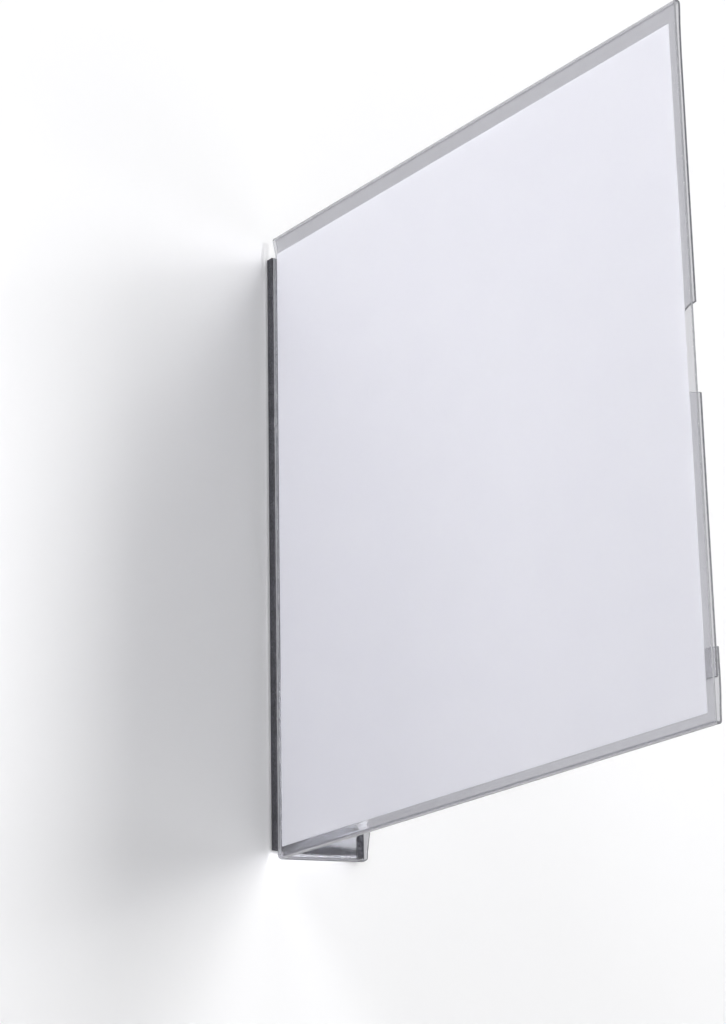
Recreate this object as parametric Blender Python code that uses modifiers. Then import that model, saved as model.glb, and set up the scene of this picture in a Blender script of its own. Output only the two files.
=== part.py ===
"""Clear projecting sign holder: a folded plastic sheet with a card in it and foam tape behind its flange.

Metres, +Z up. The wall is the plane Y = 0 and the holder stands out from it along -Y. The origin is the
centre of the tape's wall face. "Depth" below is measured through the flat tube, from the outer face of
the front leaf (-X side) towards the flaps.
"""

import math

import bmesh
import bpy

MM = 0.001

# The card that the holder is made for.
CARD_SIDE = 150.0 * MM
CARD_THICK = 0.20 * MM
CARD_CLEARANCE = 0.15 * MM

# The clear sheet, and the flat tube that it is folded into.
SHEET = 0.50 * MM
TUBE_HEIGHT = 157.5 * MM
NEAR_EDGE = 156.9 * MM  # from the wall to the open end
FOLD_GAP = 0.80 * MM  # inside a fold
FOLD_STEPS = 8
EASE_LENGTH = 12.0 * MM  # a flap closes from the fold's gap to the card's within this height
LAP_CLEARANCE = 0.15 * MM  # between the two flaps where they lap
LOWER_FLAP_TOP = 15.8 * MM
UPPER_FLAP_END = 9.6 * MM
LOWER_EASE_TOP = 8.0 * MM

# The bend at the wall, and the flange.
BEND_RADIUS = 1.20 * MM  # outer face of the front leaf
LEAST_RADIUS = 0.10 * MM
BEND_STEPS = 6
FLANGE_WIDTH = 22.8 * MM  # of the leaf that lies on the tape
FLANGE_TOP = 152.0 * MM
CUT_CORNER_DEPTH = 4.2 * MM  # from the wall to the foot of the slanted cut
CUT_TIP_DEPTH = 2.7 * MM  # from the wall to its top

# The half-round thumb notch in the upper flap.
NOTCH_RADIUS = 10.0 * MM
NOTCH_OUTSIDE = 1.5 * MM  # its centre, past the open end

# The foam tape.
TAPE_WIDTH = 25.0 * MM
TAPE_LENGTH = 150.0 * MM
TAPE_THICK = 2.0 * MM
TAPE_GAP = 0.20 * MM
TAPE_INSET = 0.30 * MM  # from the front leaf's outer face
TAPE_FOOT = 2.5 * MM  # above the bottom fold

# The card's place in the tube.
CARD_FOOT = 2.65 * MM
CARD_NEAR_MARGIN = 2.6 * MM

LEAF_X = -(TAPE_INSET + TAPE_WIDTH / 2)  # outer face of the front leaf
BOTTOM_Z = -(TAPE_FOOT + TAPE_LENGTH / 2)  # underside of the bottom fold
FLANGE_BACK = TAPE_THICK + TAPE_GAP  # from the wall to the flange

# Depths of the sheet's middle surface, from the front leaf's outer face.
LEAF_DEPTH = SHEET / 2
FOLD_RADIUS = (FOLD_GAP + SHEET) / 2
FOLD_DEPTH = LEAF_DEPTH + FOLD_RADIUS
FLAP_AT_FOLD = FOLD_DEPTH + FOLD_RADIUS
CARD_DEPTH = SHEET + CARD_CLEARANCE + CARD_THICK / 2
UPPER_FLAP_DEPTH = SHEET + 2 * CARD_CLEARANCE + CARD_THICK + SHEET / 2
LOWER_FLAP_DEPTH = UPPER_FLAP_DEPTH + SHEET + LAP_CLEARANCE


def smooth(t):
    """Eases from 0 to 1 with level ends."""
    t = min(max(t, 0.0), 1.0)
    return t * t * (3 - 2 * t)


def spread(start, end, steps):
    """Evenly spaced values from start to end, both included."""
    return [start + (end - start) * i / steps for i in range(steps + 1)]


def fold_arc(middle_height, first_angle, last_angle):
    """(depth, height) along a half-round fold, angles in degrees from the flap side."""
    points = []
    for angle in spread(first_angle, last_angle, FOLD_STEPS):
        turn = math.radians(angle)
        depth = FOLD_DEPTH + FOLD_RADIUS * math.cos(turn)
        points.append((depth, middle_height + FOLD_RADIUS * math.sin(turn)))
    return points


def sheet_section():
    """The sheet's middle line as (depth, height): lower flap, bottom fold, front leaf, top fold, upper flap."""
    low = LEAF_DEPTH + FOLD_RADIUS
    high = TUBE_HEIGHT - low
    section = []
    for height in spread(LOWER_FLAP_TOP, LOWER_EASE_TOP, 2) + spread(LOWER_EASE_TOP, low, 4)[1:-1]:
        part = smooth((height - low) / (LOWER_EASE_TOP - low))
        section.append((FLAP_AT_FOLD + (LOWER_FLAP_DEPTH - FLAP_AT_FOLD) * part, height))
    section += fold_arc(low, 0, -180)
    for height in spread(low, FLANGE_TOP, 6)[1:] + spread(FLANGE_TOP, high, 2)[1:-1]:
        section.append((LEAF_DEPTH, height))
    section += fold_arc(high, 180, 0)
    ease_end = high - EASE_LENGTH
    heights = spread(high, FLANGE_TOP, 2)[1:] + spread(FLANGE_TOP, ease_end, 3)[1:]
    for height in heights + spread(ease_end, UPPER_FLAP_END, 6)[1:]:
        part = smooth((high - height) / EASE_LENGTH)
        section.append((FLAP_AT_FOLD + (UPPER_FLAP_DEPTH - FLAP_AT_FOLD) * part, height))
    return section


def bend_radius(depth):
    """Radius of the bend at this depth: each leaf turns about its own centre, and none below the least."""
    inside = UPPER_FLAP_DEPTH - SHEET / 2
    radius = BEND_RADIUS - min(depth, SHEET) - max(depth - inside, 0.0)
    return max(radius, LEAST_RADIUS + SHEET / 2)


def flange_end(depth):
    """How far the flange reaches at this depth. The tube was cut square and then bent, so inner leaves
    stand out further than the outer one by the difference between their ways round the bend."""
    def run(d):
        return 2 * (d + bend_radius(d)) - math.pi / 2 * bend_radius(d)
    return FLANGE_WIDTH + run(depth) - run(LEAF_DEPTH)


def straight_end(depth):
    """Distance from the wall at which the bend starts, at this depth."""
    return FLANGE_BACK + depth + bend_radius(depth)


def cut_depth(height):
    """Distance from the wall to the slanted cut, above the flange."""
    part = (height - FLANGE_TOP) / (TUBE_HEIGHT - FLANGE_TOP)
    return CUT_CORNER_DEPTH + (CUT_TIP_DEPTH - CUT_CORNER_DEPTH) * part


def stations(depth):
    """(x, y) from the open end, along the tube, round the bend and along the flange. The one before the
    bend is where the slanted cut starts, and its index is CUT_STATION."""
    corner = max(CUT_CORNER_DEPTH, straight_end(depth) + 0.1 * MM)
    way = [(LEAF_X + depth, -y) for y in spread(NEAR_EDGE, corner, 4)]
    radius = bend_radius(depth)
    for angle in spread(0, 90, BEND_STEPS):
        turn = math.radians(angle)
        x = LEAF_X + depth + radius * (1 - math.cos(turn))
        way.append((x, -(straight_end(depth) - radius * math.sin(turn))))
    start = depth + radius
    way += [(LEAF_X + x, -(FLANGE_BACK + depth)) for x in spread(start, flange_end(depth), 3)[1:]]
    return way


CUT_STATION = 4


def add_material(piece, name, colour, roughness, metallic=0.0, alpha=1.0):
    material = bpy.data.materials.new(name)
    material.use_nodes = True
    shader = material.node_tree.nodes["Principled BSDF"]
    shader.inputs["Base Color"].default_value = (*colour, 1.0)
    shader.inputs["Roughness"].default_value = roughness
    shader.inputs["Metallic"].default_value = metallic
    shader.inputs["Alpha"].default_value = alpha
    piece.data.materials.append(material)


def add_block(name, size, centre, collection):
    """A plain block of this size, with its origin at its centre."""
    bpy.ops.mesh.primitive_cube_add(size=1, location=centre)
    block = bpy.context.object
    block.name = name
    block.scale = size
    bpy.ops.object.transform_apply(location=False, rotation=False, scale=True)
    move_to(block, collection)
    return block


def move_to(piece, collection):
    for old in list(piece.users_collection):
        old.objects.unlink(piece)
    collection.objects.link(piece)


def add_notch_cutter(cutters):
    """A round cutter along X that reaches only the flap behind the card."""
    low = CARD_DEPTH
    high = LOWER_FLAP_DEPTH + 2 * MM
    bpy.ops.mesh.primitive_cylinder_add(
        vertices=64,
        radius=NOTCH_RADIUS,
        depth=high - low,
        location=(LEAF_X + (low + high) / 2, -(NEAR_EDGE + NOTCH_OUTSIDE), BOTTOM_Z + TUBE_HEIGHT / 2),
        rotation=(0, math.pi / 2, 0),
    )
    cutter = bpy.context.object
    cutter.name = "notch_cutter"
    cutter.hide_render = True
    cutter.display_type = "WIRE"
    move_to(cutter, cutters)
    return cutter


def add_clear_holder(parts, cutters):
    """A flat grid whose rows follow the section and whose columns follow the stations."""
    section = sheet_section()
    columns = len(stations(LEAF_DEPTH))
    mesh = bpy.data.meshes.new("clear_holder")
    holder = bpy.data.objects.new("clear_holder", mesh)
    parts.objects.link(holder)
    blank = bmesh.new()
    bmesh.ops.create_grid(blank, x_segments=columns - 1, y_segments=len(section) - 1, size=1)
    gone = []
    for vertex in blank.verts:
        column = round((vertex.co.x + 1) / 2 * (columns - 1))
        depth, height = section[round((vertex.co.y + 1) / 2 * (len(section) - 1))]
        x, y = stations(depth)[column]
        above = height > FLANGE_TOP + 0.01 * MM
        if above and column == CUT_STATION:
            y = -cut_depth(height)
        if above and column > CUT_STATION:
            gone.append(vertex)
        vertex.co = (x, y, BOTTOM_Z + height)
    bmesh.ops.delete(blank, geom=gone, context="VERTS")
    bmesh.ops.recalc_face_normals(blank, faces=blank.faces)
    blank.to_mesh(mesh)
    blank.free()
    thicken = holder.modifiers.new("Sheet", "SOLIDIFY")
    thicken.thickness = SHEET
    thicken.offset = 0
    thicken.use_even_offset = True
    notch = holder.modifiers.new("Thumb notch", "BOOLEAN")
    notch.operation = "DIFFERENCE"
    notch.solver = "EXACT"
    notch.object = add_notch_cutter(cutters)
    mesh.shade_smooth()
    mesh.set_sharp_from_angle(angle=math.radians(40))
    add_material(holder, "clear_plastic", (0.93, 0.94, 0.96), 0.05, alpha=0.3)


def add_foam_tape(parts):
    size = (TAPE_WIDTH, TAPE_THICK, TAPE_LENGTH)
    tape = add_block("foam_tape", size, (0, -TAPE_THICK / 2, 0), parts)
    add_material(tape, "foam", (0.055, 0.055, 0.065), 0.9)


def add_insert_card(parts):
    size = (CARD_THICK, CARD_SIDE, CARD_SIDE)
    centre = (
        LEAF_X + CARD_DEPTH,
        -(NEAR_EDGE - CARD_NEAR_MARGIN - CARD_SIDE / 2),
        BOTTOM_Z + CARD_FOOT + CARD_SIDE / 2,
    )
    card = add_block("insert_card", size, centre, parts)
    add_material(card, "white_card", (0.84, 0.84, 0.87), 0.7)


def main():
    for old in list(bpy.data.objects):
        bpy.data.objects.remove(old, do_unlink=True)
    parts = bpy.data.collections.new("projecting_sign_holder")
    cutters = bpy.data.collections.new("cutters")
    for collection in (parts, cutters):
        bpy.context.scene.collection.children.link(collection)
    add_clear_holder(parts, cutters)
    add_foam_tape(parts)
    add_insert_card(parts)


main()
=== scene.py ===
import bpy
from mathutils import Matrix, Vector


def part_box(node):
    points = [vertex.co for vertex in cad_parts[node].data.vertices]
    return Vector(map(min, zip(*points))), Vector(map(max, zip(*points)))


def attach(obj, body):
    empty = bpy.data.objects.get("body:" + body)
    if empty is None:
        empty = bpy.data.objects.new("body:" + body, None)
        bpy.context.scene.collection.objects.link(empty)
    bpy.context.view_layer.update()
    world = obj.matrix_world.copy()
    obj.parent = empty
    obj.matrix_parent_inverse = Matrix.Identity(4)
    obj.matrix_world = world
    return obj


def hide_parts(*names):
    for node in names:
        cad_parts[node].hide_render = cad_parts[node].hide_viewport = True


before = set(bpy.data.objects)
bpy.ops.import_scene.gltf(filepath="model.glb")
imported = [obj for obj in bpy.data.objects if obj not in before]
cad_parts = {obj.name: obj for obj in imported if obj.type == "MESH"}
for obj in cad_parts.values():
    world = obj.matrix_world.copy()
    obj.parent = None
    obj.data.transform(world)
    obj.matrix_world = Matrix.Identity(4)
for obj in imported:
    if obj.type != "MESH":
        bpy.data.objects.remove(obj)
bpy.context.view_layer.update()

import math

import bmesh
import bpy
from mathutils import Quaternion, Vector

# ---------------------------------------------------------------------------------------------------
# Clear sleeve. One 0.5 mm sheet of clear PET, hot-folded over at the top and at the bottom into a flat
# tube that is open at the end away from the wall. The tube is cut square, and then its wall end is
# turned aside through a right angle to make the flange that lies on the foam tape.

MM = 0.001
HAIR = 0.01 * MM
SHEET = 0.5 * MM
sleeve_low, sleeve_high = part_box("clear_holder")
OPEN_END = sleeve_low.y
FLANGE_BACK = sleeve_high.y
FOLD_LINE_LOW = sleeve_low.z + 0.9 * MM  # where the bottom fold starts
FOLD_LINE_HIGH = sleeve_high.z - 0.9 * MM
FLANGE_TOP = sleeve_low.z + 152.0 * MM
FOLD_CUTS = 11
BEND_STEPS = 8
SPARE = 1.0 * MM  # trimmed off the open end
FLANGE_LONG = sleeve_high.x + 0.5 * MM  # before it is trimmed

# Depths of the sheet's middle, measured from the sleeve's outer face towards the flaps.
FRONT_DEPTH = SHEET / 2
FLAP_AT_FOLD_DEPTH = 1.55 * MM
UPPER_FLAP_DEPTH = 1.25 * MM

# Radii of the leaves' bends at the wall, at the sheet's middle.
FRONT_BEND = 0.95 * MM
UPPER_FLAP_BEND = 0.45 * MM
LOWER_FLAP_BEND = 0.35 * MM

# Limits for picking edges.
PAST_OPEN_END = OPEN_END - 3 * MM
PAST_FLANGE = 20 * MM
BEHIND_CARD = sleeve_low.x + 1.0 * MM


def wake(piece):
    """Leaves this piece alone selected and active."""
    bpy.ops.object.select_all(action="DESELECT")
    piece.select_set(True)
    bpy.context.view_layer.objects.active = piece


def start_piece(name):
    """An empty mesh at the origin, open for editing."""
    mesh = bpy.data.meshes.new(name)
    piece = bpy.data.objects.new(name, mesh)
    bpy.context.scene.collection.objects.link(piece)
    wake(piece)
    bpy.ops.object.mode_set(mode="EDIT")
    bpy.ops.mesh.select_mode(type="EDGE")
    return piece


def pick_edges(piece, low, high, along=None):
    """Selects the edges that lie inside this box, and of those only the ones that run along this axis."""
    bpy.ops.mesh.select_mode(type="EDGE")
    bpy.ops.mesh.select_all(action="DESELECT")
    mesh = bmesh.from_edit_mesh(piece.data)
    for edge in mesh.edges:
        ends = [vertex.co for vertex in edge.verts]
        inside = all(low[i] - HAIR <= end[i] <= high[i] + HAIR for end in ends for i in range(3))
        step = [abs(ends[1][i] - ends[0][i]) for i in range(3)]
        edge.select_set(inside and (along is None or step[along] == max(step)))
    bmesh.update_edit_mesh(piece.data)


def pick_faces(piece, test):
    """Selects the faces whose middle passes the test."""
    bpy.ops.mesh.select_mode(type="FACE")
    bpy.ops.mesh.select_all(action="DESELECT")
    mesh = bmesh.from_edit_mesh(piece.data)
    for face in mesh.faces:
        face.select_set(test(face.calc_center_median(), face.normal))
    bmesh.update_edit_mesh(piece.data)


def add_leaf(piece, depth, radius, foot, head):
    """An upright leaf of sheet at this depth: its flat part, its bend at the wall and its flange."""
    x = sleeve_low.x + depth
    turn = FLANGE_BACK - depth - radius
    start = OPEN_END - SPARE
    bpy.ops.mesh.select_all(action="DESELECT")
    bpy.ops.mesh.primitive_plane_add(size=1, rotation=(0, math.radians(-90), 0))
    bpy.ops.transform.resize(value=(1, turn - start, head - foot))
    bpy.ops.transform.translate(value=(x, (turn + start) / 2, (head + foot) / 2))
    pick_edges(piece, (x, turn, foot), (x, turn, head))
    bpy.ops.mesh.spin(
        steps=BEND_STEPS, angle=math.radians(90), center=(x + radius, turn, 0), axis=(0, 0, 1)
    )
    flange_reach = FLANGE_LONG - (x + radius)
    bpy.ops.mesh.extrude_region_move(TRANSFORM_OT_translate={"value": (flange_reach, 0, 0)})


def raise_edges(x_step, y_step, z_step):
    """Extrudes the picked edges by this much."""
    bpy.ops.mesh.extrude_region_move(TRANSFORM_OT_translate={"value": (x_step, y_step, z_step)})


sleeve = start_piece("clear_sleeve")
FRONT_X = sleeve_low.x + FRONT_DEPTH
add_leaf(sleeve, FRONT_DEPTH, FRONT_BEND, FOLD_LINE_LOW, FLANGE_TOP)

# The lower flap stands off the card a little further with height, to let the upper flap in.
LOWER_FLAP_FOOT = 1.2 * MM  # straight up from the fold
LOWER_FLAP_ROWS = ((2.2, 0.14), (2.2, 0.13), (1.5, 0.05), (7.8, 0.0))  # rise and ease of each, in mm
row = FOLD_LINE_LOW + LOWER_FLAP_FOOT
add_leaf(sleeve, FLAP_AT_FOLD_DEPTH, LOWER_FLAP_BEND, FOLD_LINE_LOW, row)
for rise, ease in LOWER_FLAP_ROWS:
    pick_edges(sleeve, (BEHIND_CARD, PAST_OPEN_END, row), (PAST_FLANGE, 0, row))
    raise_edges(ease * MM, -ease * MM, rise * MM)
    row += rise * MM

# The upper flap lies close behind the card and eases out to the top fold over its last 12 mm.
UPPER_FLAP_FOOT = sleeve_low.z + 9.6 * MM
EASE_START = FOLD_LINE_HIGH - 12.0 * MM
EASES_BY_FLANGE = (0.05 * MM, 0.06 * MM)
EASES_ABOVE = (0.12 * MM, 0.07 * MM)
add_leaf(sleeve, UPPER_FLAP_DEPTH, UPPER_FLAP_BEND, UPPER_FLAP_FOOT, EASE_START)
row = EASE_START
half_rise = (FLANGE_TOP - EASE_START) / 2
for ease in EASES_BY_FLANGE:
    pick_edges(sleeve, (BEHIND_CARD, PAST_OPEN_END, row), (PAST_FLANGE, 0, row))
    raise_edges(ease, -ease, half_rise)
    row += half_rise

# Above the flange only the tube goes on. Its wall end is left long here and snipped below.
top_rise = FOLD_LINE_HIGH - FLANGE_TOP
front_turn = FLANGE_BACK - FRONT_DEPTH - FRONT_BEND
pick_edges(sleeve, (FRONT_X, PAST_OPEN_END, FLANGE_TOP), (FRONT_X, front_turn, FLANGE_TOP))
raise_edges(0, 0, top_rise)
flap_x = sleeve_low.x + UPPER_FLAP_DEPTH + sum(EASES_BY_FLANGE)
flap_turn = FLANGE_BACK - UPPER_FLAP_DEPTH - UPPER_FLAP_BEND - sum(EASES_BY_FLANGE)
pick_edges(sleeve, (flap_x, PAST_OPEN_END, FLANGE_TOP), (flap_x, flap_turn, FLANGE_TOP))
for ease in EASES_ABOVE:
    raise_edges(ease, 0, top_rise / 2)
WALL_END = FLANGE_BACK - 0.3 * MM
for turn in (front_turn, flap_turn):
    low = (FRONT_X, turn, FLANGE_TOP)
    pick_edges(sleeve, low, (flap_x + 0.3 * MM, turn, FOLD_LINE_HIGH), along=2)
    raise_edges(0, WALL_END - turn, 0)

# Both folds are bridged round between the leaves that they join.
bpy.ops.mesh.select_all(action="SELECT")
bpy.ops.mesh.remove_doubles(threshold=HAIR / 2)
for line in (FOLD_LINE_LOW, FOLD_LINE_HIGH):
    pick_edges(sleeve, (-1, -1, line), (1, 1, line))
    bpy.ops.mesh.bridge_edge_loops(number_cuts=FOLD_CUTS, interpolation="SURFACE", smoothness=1.0)

# The hot bend pulled the free end of the flange a little upwards, so its bottom edge climbs.
FREE_END_RISE = 1.7 * MM
FREE_END_FROM = 5 * MM
LOWER_FLAP_LIMIT = sleeve_low.z + 16.5 * MM  # above the lower flap's top edge
bpy.ops.mesh.select_mode(type="VERT")
bpy.ops.mesh.select_all(action="DESELECT")
mesh = bmesh.from_edit_mesh(sleeve.data)
for vertex in mesh.verts:
    vertex.select_set(vertex.co.x > FREE_END_FROM and vertex.co.z < LOWER_FLAP_LIMIT)
bmesh.update_edit_mesh(sleeve.data)
bpy.ops.transform.translate(value=(0, 0, FREE_END_RISE))


def cut(place, slope, **clear):
    """Cuts all of the mesh along a plane, and may clear one side of it."""
    bpy.ops.mesh.select_mode(type="VERT")
    bpy.ops.mesh.select_all(action="SELECT")
    bpy.ops.mesh.bisect(plane_co=place, plane_no=slope, threshold=HAIR / 10, **clear)


# The open end is trimmed square. The flange's end slants through its layers, because the tube was cut
# square before it was turned. The top fold is snipped off aslant above the flange.
FLANGE_END = (10.0 * MM, FLANGE_BACK - FRONT_DEPTH, 0)
FLANGE_END_SLANT = (0.482, 0.876, 0)
SNIP_FOOT = Vector((0, -4.2 * MM, FLANGE_TOP))
SNIP_SLANT = (0, 0.965, -0.263)
cut((0, OPEN_END, 0), (0, 1, 0), clear_inner=True)
cut(FLANGE_END, FLANGE_END_SLANT, clear_outer=True)
cut(SNIP_FOOT, (0, 1, 0))
pick_faces(sleeve, lambda middle, normal: middle.z > FLANGE_TOP)
bpy.ops.mesh.bisect(plane_co=SNIP_FOOT, plane_no=SNIP_SLANT, threshold=HAIR / 10, clear_outer=True)
bpy.ops.mesh.select_all(action="SELECT")
bpy.ops.mesh.remove_doubles(threshold=HAIR / 2)
bpy.ops.mesh.normals_make_consistent(inside=False)
bpy.ops.object.mode_set(mode="OBJECT")


def apply_modifier(piece, kind, **settings):
    """Adds one modifier with these settings and applies it."""
    modifier = piece.modifiers.new(kind.title(), kind)
    for setting, value in settings.items():
        setattr(modifier, setting, value)
    wake(piece)
    bpy.ops.object.modifier_apply(modifier=modifier.name)


def add_node(tree, kind, **values):
    """Adds a node and sets its plain properties and, by name, its inputs."""
    node = tree.nodes.new(kind)
    for name, value in values.items():
        socket = node.inputs.get(name.replace("_", " "))
        if socket is not None:
            socket.default_value = value
        else:
            setattr(node, name, value)
    return node


def mottle_group():
    """Soft irregular patches, for the cloudiness of paper, plastic and foam: a value from Low to High."""
    group = bpy.data.node_groups.new("mottle", "ShaderNodeTree")
    sockets = group.interface
    sockets.new_socket(name="Vector", in_out="INPUT", socket_type="NodeSocketVector")
    for name, start in (("Scale", 50.0), ("Detail", 2.0), ("Low", 0.0), ("High", 1.0)):
        socket = sockets.new_socket(name=name, in_out="INPUT", socket_type="NodeSocketFloat")
        socket.default_value = start
    sockets.new_socket(name="Value", in_out="OUTPUT", socket_type="NodeSocketFloat")
    given = group.nodes.new("NodeGroupInput")
    result = group.nodes.new("NodeGroupOutput")
    noise = add_node(group, "ShaderNodeTexNoise", Roughness=0.55)
    spread = group.nodes.new("ShaderNodeMapRange")
    spread.inputs["From Min"].default_value = 0.3
    spread.inputs["From Max"].default_value = 0.7
    group.links.new(given.outputs["Vector"], noise.inputs["Vector"])
    group.links.new(given.outputs["Scale"], noise.inputs["Scale"])
    group.links.new(given.outputs["Detail"], noise.inputs["Detail"])
    group.links.new(noise.outputs["Fac"], spread.inputs["Value"])
    group.links.new(given.outputs["Low"], spread.inputs["To Min"])
    group.links.new(given.outputs["High"], spread.inputs["To Max"])
    group.links.new(spread.outputs["Result"], result.inputs["Value"])
    return group


MOTTLE = mottle_group()


def add_mottle(tree, place, scale, detail, low, high):
    """Adds one use of the mottle group, and gives its value."""
    node = tree.nodes.new("ShaderNodeGroup")
    node.node_tree = MOTTLE
    node.inputs["Scale"].default_value = scale
    node.inputs["Detail"].default_value = detail
    node.inputs["Low"].default_value = low
    node.inputs["High"].default_value = high
    tree.links.new(place, node.inputs["Vector"])
    return node.outputs["Value"]


def pet_material(name, transmission):
    """The start of a PET material: a Principled glass that lets the lamps' light straight through."""
    material = bpy.data.materials.new(name)
    material.use_nodes = True
    tree = material.node_tree
    shader = tree.nodes["Principled BSDF"]
    shader.inputs["IOR"].default_value = 1.57
    shader.inputs["Transmission Weight"].default_value = transmission
    path = tree.nodes.new("ShaderNodeLightPath")
    through = tree.nodes.new("ShaderNodeBsdfTransparent")
    through.inputs["Color"].default_value = (0.94, 0.94, 0.95, 1.0)
    mix = tree.nodes.new("ShaderNodeMixShader")
    tree.links.new(path.outputs["Is Shadow Ray"], mix.inputs["Fac"])
    tree.links.new(shader.outputs["BSDF"], mix.inputs[1])
    tree.links.new(through.outputs["BSDF"], mix.inputs[2])
    tree.links.new(mix.outputs["Shader"], tree.nodes["Material Output"].inputs["Surface"])
    return material, tree, shader


def clear_pet():
    """Clear PET sheet, faintly cool and slightly wavy, with a trace of handling on its gloss. Its grey
    tint is painted shade: it darkens all that is seen through the sheet, in place of a dimmer wall behind.
    """
    material, tree, shader = pet_material("clear_pet", 1.0)
    # The grey of this colour is painted shade on what is seen through the sheet.
    shader.inputs["Base Color"].default_value = (0.715, 0.715, 0.74, 1)
    place = tree.nodes.new("ShaderNodeTexCoord").outputs["Object"]
    tree.links.new(add_mottle(tree, place, 40.0, 3.0, 0.01, 0.03), shader.inputs["Roughness"])
    waves = add_node(tree, "ShaderNodeBump", Strength=0.5, Distance=0.02 * MM)
    tree.links.new(add_mottle(tree, place, 25.0, 1.0, 0.0, 1.0), waves.inputs["Height"])
    tree.links.new(waves.outputs["Normal"], shader.inputs["Normal"])
    return material


def crazed_glinting_pet():
    """The same sheet where it was turned at the wall: silvery, and crazed with fine stress lines. The
    white of its speckles is partly the stress whitening of the sheet and partly painted highlight for the
    lamps' glints in the turn.
    """
    material, tree, shader = pet_material("crazed_glinting_pet", 0.55)
    place = tree.nodes.new("ShaderNodeTexCoord").outputs["Object"]
    stretch = tree.nodes.new("ShaderNodeMapping")
    stretch.inputs["Scale"].default_value = (1.0, 1.0, 0.3)
    tree.links.new(place, stretch.inputs["Vector"])
    marks_and_glints = add_mottle(tree, stretch.outputs["Vector"], 1100.0, 3.0, 0.0, 1.0)
    # The white end of this mix is partly painted highlight, for the lamps' glints in the turn, and partly
    # the sheet's stress whitening.
    whitening_and_glint = tree.nodes.new("ShaderNodeMix")
    whitening_and_glint.data_type = "RGBA"
    whitening_and_glint.inputs["A"].default_value = (0.15, 0.15, 0.18, 1)
    whitening_and_glint.inputs["B"].default_value = (1.0, 1.0, 1.0, 1)
    tree.links.new(marks_and_glints, whitening_and_glint.inputs["Factor"])
    tree.links.new(whitening_and_glint.outputs["Result"], shader.inputs["Base Color"])
    haze = add_mottle(tree, stretch.outputs["Vector"], 350.0, 3.0, 0.04, 0.28)
    tree.links.new(haze, shader.inputs["Roughness"])
    crazing = add_node(tree, "ShaderNodeBump", Strength=1.0, Distance=0.1 * MM)
    tree.links.new(marks_and_glints, crazing.inputs["Height"])
    tree.links.new(crazing.outputs["Normal"], shader.inputs["Normal"])
    return material


def shaded_fold_pet():
    """The same sheet in the hot folds, painted greyer there as shade: seen along its length, the sheet
    looks darker.
    """
    material, tree, shader = pet_material("shaded_fold_pet", 1.0)
    # This grey is painted shade on the folds.
    shader.inputs["Base Color"].default_value = (0.50, 0.50, 0.53, 1)
    place = tree.nodes.new("ShaderNodeTexCoord").outputs["Object"]
    drawn = tree.nodes.new("ShaderNodeMapping")
    drawn.inputs["Scale"].default_value = (1.0, 0.1, 1.0)
    tree.links.new(place, drawn.inputs["Vector"])
    lines = add_mottle(tree, drawn.outputs["Vector"], 900.0, 2.0, 0.02, 0.1)
    tree.links.new(lines, shader.inputs["Roughness"])
    bump = add_node(tree, "ShaderNodeBump", Strength=0.4, Distance=0.02 * MM)
    tree.links.new(lines, bump.inputs["Height"])
    tree.links.new(bump.outputs["Normal"], shader.inputs["Normal"])
    return material


def cut_edge():
    """A cut edge of the sheet. The light that runs inside the sheet comes out here: pale at the outer
    leaf, and greyer at the flaps behind it."""
    material = bpy.data.materials.new("cut_edge")
    material.use_nodes = True
    tree = material.node_tree
    shader = tree.nodes["Principled BSDF"]
    place = tree.nodes.new("ShaderNodeTexCoord").outputs["Object"]
    apart = tree.nodes.new("ShaderNodeSeparateXYZ")
    tree.links.new(place, apart.inputs["Vector"])
    layer = tree.nodes.new("ShaderNodeMapRange")
    layer.inputs["From Min"].default_value = sleeve_low.x
    layer.inputs["From Max"].default_value = sleeve_low.x + 2.0 * MM
    tree.links.new(apart.outputs["X"], layer.inputs["Value"])
    tone = tree.nodes.new("ShaderNodeValToRGB")
    tone.color_ramp.elements[0].position = 0.14
    tone.color_ramp.elements[0].color = (0.40, 0.405, 0.43, 1)
    tone.color_ramp.elements[1].position = 0.25
    tone.color_ramp.elements[1].color = (0.17, 0.172, 0.19, 1)
    tree.links.new(layer.outputs["Result"], tone.inputs["Fac"])
    tree.links.new(tone.outputs["Color"], shader.inputs["Base Color"])
    tree.links.new(add_mottle(tree, place, 900.0, 3.0, 0.15, 0.4), shader.inputs["Roughness"])
    bump = add_node(tree, "ShaderNodeBump", Strength=0.4, Distance=0.02 * MM)
    tree.links.new(add_mottle(tree, place, 1600.0, 3.0, 0.0, 1.0), bump.inputs["Height"])
    tree.links.new(bump.outputs["Normal"], shader.inputs["Normal"])
    return material


# Thickening the sheet gives its cut edges their own finish. The other finishes are set by place below.
CLEAR, CUT, CRAZED_GLINTING, SHADED_FOLD = range(4)
for finish in (clear_pet(), cut_edge(), crazed_glinting_pet(), shaded_fold_pet()):
    sleeve.data.materials.append(finish)
apply_modifier(
    sleeve,
    "SOLIDIFY",
    thickness=SHEET,
    offset=0,
    use_even_offset=True,
    material_offset_rim=CUT,
)

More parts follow.
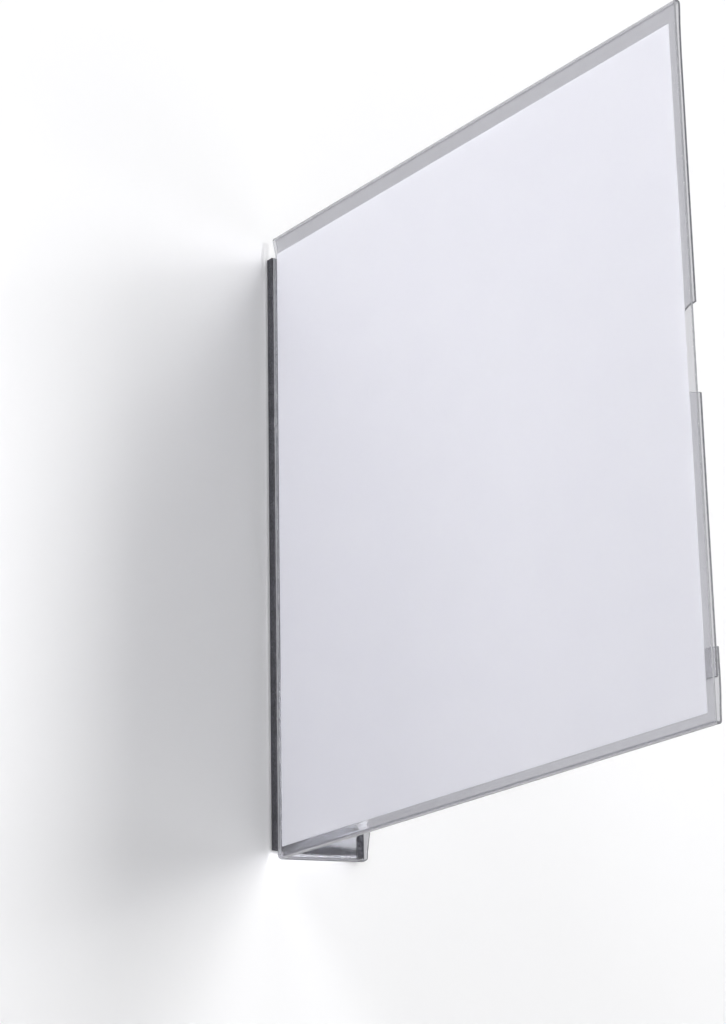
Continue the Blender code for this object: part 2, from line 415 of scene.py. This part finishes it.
# The thumb notch is punched in the flap only, so that the card can be pushed out.
NOTCH_RADIUS = 10.0 * MM
PUNCH_REACH = 3.2 * MM  # through the flap, and clear of the front leaf
EDGE_ROUNDING = 0.06 * MM
punch_middle = (
    sleeve_low.x + 2.4 * MM,
    OPEN_END - 1.5 * MM,
    (sleeve_low.z + sleeve_high.z) / 2,
)
bpy.ops.object.select_all(action="DESELECT")
bpy.ops.mesh.primitive_cylinder_add(
    vertices=96,
    radius=NOTCH_RADIUS,
    depth=PUNCH_REACH,
    location=punch_middle,
    rotation=(0, math.radians(90), 0),
)
punch = bpy.context.object
apply_modifier(sleeve, "BOOLEAN", operation="DIFFERENCE", solver="EXACT", object=punch)
bpy.data.objects.remove(punch)
apply_modifier(
    sleeve,
    "BEVEL",
    width=EDGE_ROUNDING,
    segments=2,
    limit_method="ANGLE",
    angle_limit=math.radians(55),
)


def smooth_finish(piece, angle):
    """Smooth shading over the bends, with the flat faces kept truly flat."""
    wake(piece)
    bpy.ops.object.shade_smooth_by_angle(angle=math.radians(angle))
    apply_modifier(piece, "WEIGHTED_NORMAL", weight=100, keep_sharp=True)


smooth_finish(sleeve, 50)

# The finishes by place: cut round the notch, folded with painted shade at top and bottom, crazed with
# stress whitening and painted glints at the turn to the flange.
TURNED_FROM = -4.2 * MM  # the crazed part starts here
TURNED_TO = -10.6 * MM  # and ends on the flange here
FOLD_REACH = sleeve_low.z + 3 * MM  # the raised fold at the flange's free end lies below this
for face in sleeve.data.polygons:
    middle = face.center
    from_punch = math.hypot(middle.y - punch_middle[1], middle.z - punch_middle[2])
    if abs(from_punch - NOTCH_RADIUS) < 0.08 * MM and abs(face.normal.x) < 0.95:
        face.material_index = CUT
    in_fold = middle.z < FOLD_REACH or middle.z > FOLD_LINE_HIGH
    if face.material_index == CLEAR and in_fold and abs(face.normal.z) > 0.25:
        face.material_index = SHADED_FOLD
    turned = middle.y > TURNED_FROM and middle.x < TURNED_TO and middle.z < FLANGE_TOP
    if face.material_index == CLEAR and turned:
        face.material_index = CRAZED_GLINTING
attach(sleeve, "holder")
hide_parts("clear_holder")

# ---------------------------------------------------------------------------------------------------
# Foam tape. A die-cut strip of dark closed-cell foam, 2 mm thick, with a thin coat of adhesive on the
# side of the flange. The coat on the side of the wall is hidden, and is left out. The knife leaves the
# strip's sides slightly hollow.

tape_low, tape_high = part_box("foam_tape")
TAPE_WIDTH = tape_high.x - tape_low.x
TAPE_LENGTH = tape_high.z - tape_low.z
TAPE_THICK = tape_high.y - tape_low.y
CELL = 0.4 * MM
FOAM_ROWS = 8
SIDE_HOLLOW = 0.12 * MM
BARE_RIM = 0.4 * MM  # the adhesive stops this far inside the edge
ADHESIVE = tape_low.y - FLANGE_BACK - HAIR

tape = start_piece("foam_strip")
bpy.ops.mesh.primitive_plane_add(size=1, rotation=(math.radians(90), 0, 0))
bpy.ops.transform.resize(value=(TAPE_WIDTH, 1, TAPE_LENGTH))
bpy.ops.transform.translate(value=((tape_low + tape_high) / 2 + Vector((0, TAPE_THICK / 2, 0))))
bpy.ops.mesh.delete(type="ONLY_FACE")
pick_edges(tape, tape_low, tape_high, along=2)
bpy.ops.mesh.subdivide(number_cuts=round(TAPE_LENGTH / CELL) - 1)
for z in (tape_low.z, tape_high.z):
    pick_edges(tape, (tape_low.x, -1, z), (tape_high.x, 1, z), along=0)
    bpy.ops.mesh.subdivide(number_cuts=round(TAPE_WIDTH / CELL) - 1)
bpy.ops.mesh.select_all(action="SELECT")
bpy.ops.mesh.edge_face_add()
for step in range(FOAM_ROWS):
    bpy.ops.mesh.extrude_region_move(
        TRANSFORM_OT_translate={"value": (0, -TAPE_THICK / FOAM_ROWS, 0)}
    )
bpy.ops.mesh.inset(thickness=BARE_RIM, depth=0)
bpy.ops.mesh.extrude_region_move(TRANSFORM_OT_translate={"value": (0, -ADHESIVE, 0)})
bpy.ops.mesh.select_all(action="SELECT")
bpy.ops.mesh.normals_make_consistent(inside=False)
bpy.ops.object.mode_set(mode="OBJECT")

# The cut sides are drawn in most at half depth, and the cells that the knife opened pit them.
sides = tape.vertex_groups.new(name="cut sides")
for vertex in tape.data.vertices:
    across = (vertex.co.y - tape_low.y) / TAPE_THICK
    if 0.02 < across < 0.98:
        sides.add([vertex.index], math.sin(math.pi * across) ** 0.5, "REPLACE")
pits = bpy.data.textures.new("open cells", "VORONOI")
pits.noise_scale = 0.7 * MM
pits.distance_metric = "DISTANCE"
apply_modifier(
    tape,
    "DISPLACE",
    vertex_group="cut sides",
    texture=pits,
    texture_coords="LOCAL",
    mid_level=1.2,
    strength=SIDE_HOLLOW,
)
smooth_finish(tape, 50)


def dark_foam():
    """Dark grey foam with fine cells, their walls a little paler."""
    material = bpy.data.materials.new("dark_foam")
    material.use_nodes = True
    tree = material.node_tree
    shader = tree.nodes["Principled BSDF"]
    place = tree.nodes.new("ShaderNodeTexCoord").outputs["Object"]
    cells = add_node(tree, "ShaderNodeTexVoronoi", feature="F1", Scale=2600.0)
    tree.links.new(place, cells.inputs["Vector"])
    tone = tree.nodes.new("ShaderNodeValToRGB")
    tone.color_ramp.elements[0].position = 0.15
    tone.color_ramp.elements[0].color = (0.018, 0.018, 0.023, 1)
    tone.color_ramp.elements[1].position = 0.75
    tone.color_ramp.elements[1].color = (0.075, 0.075, 0.088, 1)
    tree.links.new(cells.outputs["Distance"], tone.inputs["Fac"])
    patch = tree.nodes.new("ShaderNodeMix")
    patch.data_type = "RGBA"
    patch.blend_type = "MULTIPLY"
    patch.inputs["Factor"].default_value = 1.0
    tree.links.new(tone.outputs["Color"], patch.inputs["A"])
    tree.links.new(add_mottle(tree, place, 260.0, 3.0, 0.75, 1.2), patch.inputs["B"])
    tree.links.new(patch.outputs["Result"], shader.inputs["Base Color"])
    tree.links.new(add_mottle(tree, place, 1500.0, 2.0, 0.55, 0.8), shader.inputs["Roughness"])
    bump = add_node(tree, "ShaderNodeBump", Strength=0.7, Distance=0.08 * MM)
    tree.links.new(cells.outputs["Distance"], bump.inputs["Height"])
    tree.links.new(bump.outputs["Normal"], shader.inputs["Normal"])
    return material


def tape_adhesive():
    """The glossy adhesive coat, dark over the foam and paler where it hasn't wetted the sheet."""
    material = bpy.data.materials.new("tape_adhesive")
    material.use_nodes = True
    tree = material.node_tree
    shader = tree.nodes["Principled BSDF"]
    shader.inputs["Specular IOR Level"].default_value = 0.12
    place = tree.nodes.new("ShaderNodeTexCoord").outputs["Object"]
    tone = tree.nodes.new("ShaderNodeValToRGB")
    tone.color_ramp.elements[0].position = 0.35
    tone.color_ramp.elements[0].color = (0.022, 0.022, 0.028, 1)
    tone.color_ramp.elements[1].position = 0.8
    tone.color_ramp.elements[1].color = (0.11, 0.11, 0.13, 1)
    tree.links.new(add_mottle(tree, place, 900.0, 4.0, 0.0, 1.0), tone.inputs["Fac"])
    tree.links.new(tone.outputs["Color"], shader.inputs["Base Color"])
    tree.links.new(add_mottle(tree, place, 500.0, 2.0, 0.2, 0.45), shader.inputs["Roughness"])
    bump = add_node(tree, "ShaderNodeBump", Strength=0.5, Distance=0.03 * MM)
    tree.links.new(add_mottle(tree, place, 1200.0, 3.0, 0.0, 1.0), bump.inputs["Height"])
    tree.links.new(bump.outputs["Normal"], shader.inputs["Normal"])
    return material


tape.data.materials.append(dark_foam())
tape.data.materials.append(tape_adhesive())
for face in tape.data.polygons:
    face.material_index = int(face.center.y < tape_low.y - HAIR / 2)
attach(tape, "holder")
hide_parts("foam_tape")

# ---------------------------------------------------------------------------------------------------
# Sign card. A square of plain white card, guillotined, that slides into the sleeve from the open end.
# It isn't quite flat, and its surface shows the faint cloudiness and fibre of uncoated paper.

card_low, card_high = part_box("insert_card")
CARD_THICK = card_high.x - card_low.x
CARD_WAVE = 0.06 * MM
CARD_ROUNDING = 0.04 * MM

bpy.ops.object.select_all(action="DESELECT")
bpy.ops.mesh.primitive_grid_add(
    x_subdivisions=40, y_subdivisions=40, size=1, rotation=(0, math.radians(-90), 0)
)
card = bpy.context.object
card.name = "sign_card"
card.data.name = "sign_card"
bpy.ops.object.transform_apply(location=True, rotation=True, scale=True)
bpy.ops.object.mode_set(mode="EDIT")
bpy.ops.mesh.select_all(action="SELECT")
bpy.ops.transform.resize(value=(1, card_high.y - card_low.y, card_high.z - card_low.z))
bpy.ops.transform.translate(value=(card_low + card_high) / 2)
bpy.ops.object.mode_set(mode="OBJECT")
wave = bpy.data.textures.new("card wave", "CLOUDS")
wave.noise_scale = 0.06
apply_modifier(card, "DISPLACE", texture=wave, texture_coords="LOCAL", mid_level=0.5, strength=CARD_WAVE)
apply_modifier(card, "SOLIDIFY", thickness=CARD_THICK, offset=0)
apply_modifier(
    card, "BEVEL", width=CARD_ROUNDING, segments=2, limit_method="ANGLE", angle_limit=math.radians(60)
)
smooth_finish(card, 50)


def white_paper():
    """Uncoated white card, a touch cool, with fine fibre."""
    material = bpy.data.materials.new("white_paper")
    material.use_nodes = True
    tree = material.node_tree
    shader = tree.nodes["Principled BSDF"]
    shader.inputs["Specular IOR Level"].default_value = 0.35
    place = tree.nodes.new("ShaderNodeTexCoord").outputs["Object"]
    tone = tree.nodes.new("ShaderNodeMix")
    tone.data_type = "RGBA"
    tone.inputs["A"].default_value = (0.925, 0.925, 0.94, 1)
    tone.inputs["B"].default_value = (0.945, 0.945, 0.955, 1)
    tree.links.new(add_mottle(tree, place, 90.0, 5.0, 0.0, 1.0), tone.inputs["Factor"])
    tree.links.new(tone.outputs["Result"], shader.inputs["Base Color"])
    tree.links.new(add_mottle(tree, place, 700.0, 3.0, 0.55, 0.7), shader.inputs["Roughness"])
    fibre = tree.nodes.new("ShaderNodeMapping")
    fibre.inputs["Scale"].default_value = (1.0, 0.3, 1.0)
    tree.links.new(place, fibre.inputs["Vector"])
    bump = add_node(tree, "ShaderNodeBump", Strength=0.25, Distance=0.0015 * MM)
    grain = add_mottle(tree, fibre.outputs["Vector"], 2500.0, 4.0, 0.0, 1.0)
    tree.links.new(grain, bump.inputs["Height"])
    tree.links.new(bump.outputs["Normal"], shader.inputs["Normal"])
    return material


card.data.materials.append(white_paper())
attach(card, "insert")
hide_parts("insert_card")

# ---------------------------------------------------------------------------------------------------
# The studio: a white wall for the tape to stick to, a pale floor well below, and soft lamps. The wall
# can be seen from its front only, so it neither hides the tape from behind nor blackens its back.


def add_sheet_of_stage(name, size, location, rotation):
    """A large plane of the studio, which isn't part of the object."""
    bpy.ops.object.select_all(action="DESELECT")
    bpy.ops.mesh.primitive_plane_add(size=size, location=location, rotation=rotation)
    sheet = bpy.context.object
    sheet.name = name
    return sheet


def stage_paint(name, colour, lift):
    """Matt paint. The lift makes it a little brighter to the camera than the light that it sends on."""
    material = bpy.data.materials.new(name)
    material.use_nodes = True
    tree = material.node_tree
    shader = tree.nodes["Principled BSDF"]
    shader.inputs["Base Color"].default_value = (*colour, 1)
    shader.inputs["Roughness"].default_value = 0.9
    shader.inputs["Specular IOR Level"].default_value = 0.2
    bright = tree.nodes.new("ShaderNodeBsdfDiffuse")
    bright.inputs["Color"].default_value = (*[c * lift for c in colour], 1)
    path = tree.nodes.new("ShaderNodeLightPath")
    seen = tree.nodes.new("ShaderNodeMixShader")
    tree.links.new(path.outputs["Is Camera Ray"], seen.inputs["Fac"])
    tree.links.new(shader.outputs["BSDF"], seen.inputs[1])
    tree.links.new(bright.outputs["BSDF"], seen.inputs[2])
    back = tree.nodes.new("ShaderNodeNewGeometry")
    touching = add_node(tree, "ShaderNodeMath", operation="LESS_THAN")
    touching.inputs[1].default_value = 0.5 * MM  # a ray from the back of the tape
    tree.links.new(path.outputs["Ray Length"], touching.inputs[0])
    open_side = add_node(tree, "ShaderNodeMath", operation="MAXIMUM")
    tree.links.new(back.outputs["Backfacing"], open_side.inputs[0])
    tree.links.new(touching.outputs["Value"], open_side.inputs[1])
    clear = tree.nodes.new("ShaderNodeBsdfTransparent")
    sided = tree.nodes.new("ShaderNodeMixShader")
    tree.links.new(open_side.outputs["Value"], sided.inputs["Fac"])
    tree.links.new(seen.outputs["Shader"], sided.inputs[1])
    tree.links.new(clear.outputs["BSDF"], sided.inputs[2])
    tree.links.new(sided.outputs["Shader"], tree.nodes["Material Output"].inputs["Surface"])
    return material


WALL_GAP = 0.02 * MM  # behind the tape
wall = add_sheet_of_stage("wall", 4.0, (0, WALL_GAP, 1.55), (math.radians(90), 0, 0))
wall.data.materials.append(stage_paint("wall_paint", (0.88, 0.88, 0.885), 1.1))
floor = add_sheet_of_stage("floor", 8.0, (0, 0, -0.45), (0, 0, 0))
floor.data.materials.append(stage_paint("floor_paint", (0.75, 0.75, 0.755), 1.0))

# The room beyond the lamps gives little light, but is pale where it is seen directly or through the sheet.
world = bpy.data.worlds.new("studio")
bpy.context.scene.world = world
world.use_nodes = True
room = world.node_tree
room.nodes["Background"].inputs["Color"].default_value = (0.93, 0.95, 1.0, 1)
ray = room.nodes.new("ShaderNodeLightPath")
looked_at = add_node(room, "ShaderNodeMath", operation="MAXIMUM")
room.links.new(ray.outputs["Is Camera Ray"], looked_at.inputs[0])
room.links.new(ray.outputs["Is Transmission Ray"], looked_at.inputs[1])
strength = room.nodes.new("ShaderNodeMapRange")
strength.inputs["To Min"].default_value = 0.05
strength.inputs["To Max"].default_value = 0.6
room.links.new(looked_at.outputs["Value"], strength.inputs["Value"])
room.links.new(strength.outputs["Result"], room.nodes["Background"].inputs["Strength"])
bpy.context.scene.view_settings.view_transform = "Standard"


def outward(azimuth, elevation):
    """Unit vector from the object: azimuth 0 points away from the wall, and 90 along +X."""
    a, e = math.radians(azimuth), math.radians(elevation)
    return Vector((math.sin(a) * math.cos(e), -math.cos(a) * math.cos(e), math.sin(e)))


def add_lamp(name, azimuth, elevation, distance, width, height, power, colour, in_gloss=True):
    """A soft panel that faces the object and isn't seen itself, except perhaps in gloss."""
    panel = bpy.data.lights.new(name, "AREA")
    panel.shape = "RECTANGLE"
    panel.size = width
    panel.size_y = height
    panel.energy = power
    panel.color = colour
    lamp = bpy.data.objects.new(name, panel)
    bpy.context.scene.collection.objects.link(lamp)
    aim = Vector((0, -0.075, 0))
    lamp.location = aim + outward(azimuth, elevation) * distance
    lamp.rotation_euler = outward(azimuth, elevation).to_track_quat("Z", "Y").to_euler()
    lamp.visible_camera = False
    lamp.visible_glossy = in_gloss
    return lamp


add_lamp("key", 19, 8, 2.2, 0.5, 0.6, 15, (1.0, 0.995, 0.985))
add_lamp("key_high", 21, 25, 2.2, 0.5, 0.5, 7, (1.0, 1.0, 1.0), in_gloss=False)
# The small lamp at the side puts the glint on the flange. Its roll slants the glint.
key_side = add_lamp("key_side", 36, 12, 2.2, 0.14, 0.16, 2.4, (1.0, 1.0, 1.0))
key_side.rotation_euler.rotate_axis("Z", math.radians(-7))
add_lamp("top", 28, 45, 2.0, 0.7, 0.7, 8, (1.0, 1.0, 1.0), in_gloss=False)
add_lamp("top_left", -62, 50, 2.0, 0.7, 0.7, 12, (0.985, 0.985, 1.0), in_gloss=False)
add_lamp("front", -25, 30, 2.0, 0.7, 0.7, 2, (1.0, 1.0, 1.0), in_gloss=False)
add_lamp("fill", -93, 20, 0.5, 0.12, 0.3, 1.0, (0.985, 0.985, 1.0))

# ---------------------------------------------------------------------------------------------------
# The camera: below and to the left, at arm's length.

CAMERA_ROLL = math.radians(-1.07)
back = outward(-35.46, -19.32)
camera_data = bpy.data.cameras.new("camera")
camera_data.lens = 105.5
camera_data.sensor_width = 36.0
camera_data.shift_y = -0.078
camera = bpy.data.objects.new("camera", camera_data)
bpy.context.scene.collection.objects.link(camera)
camera.location = (-398.5 * MM, -582.1 * MM, -216.0 * MM)
camera.rotation_mode = "QUATERNION"
camera.rotation_quaternion = (-back).to_track_quat("-Z", "Y") @ Quaternion((0, 0, 1), CAMERA_ROLL)
camera_data.clip_start = 0.01
bpy.context.scene.camera = camera
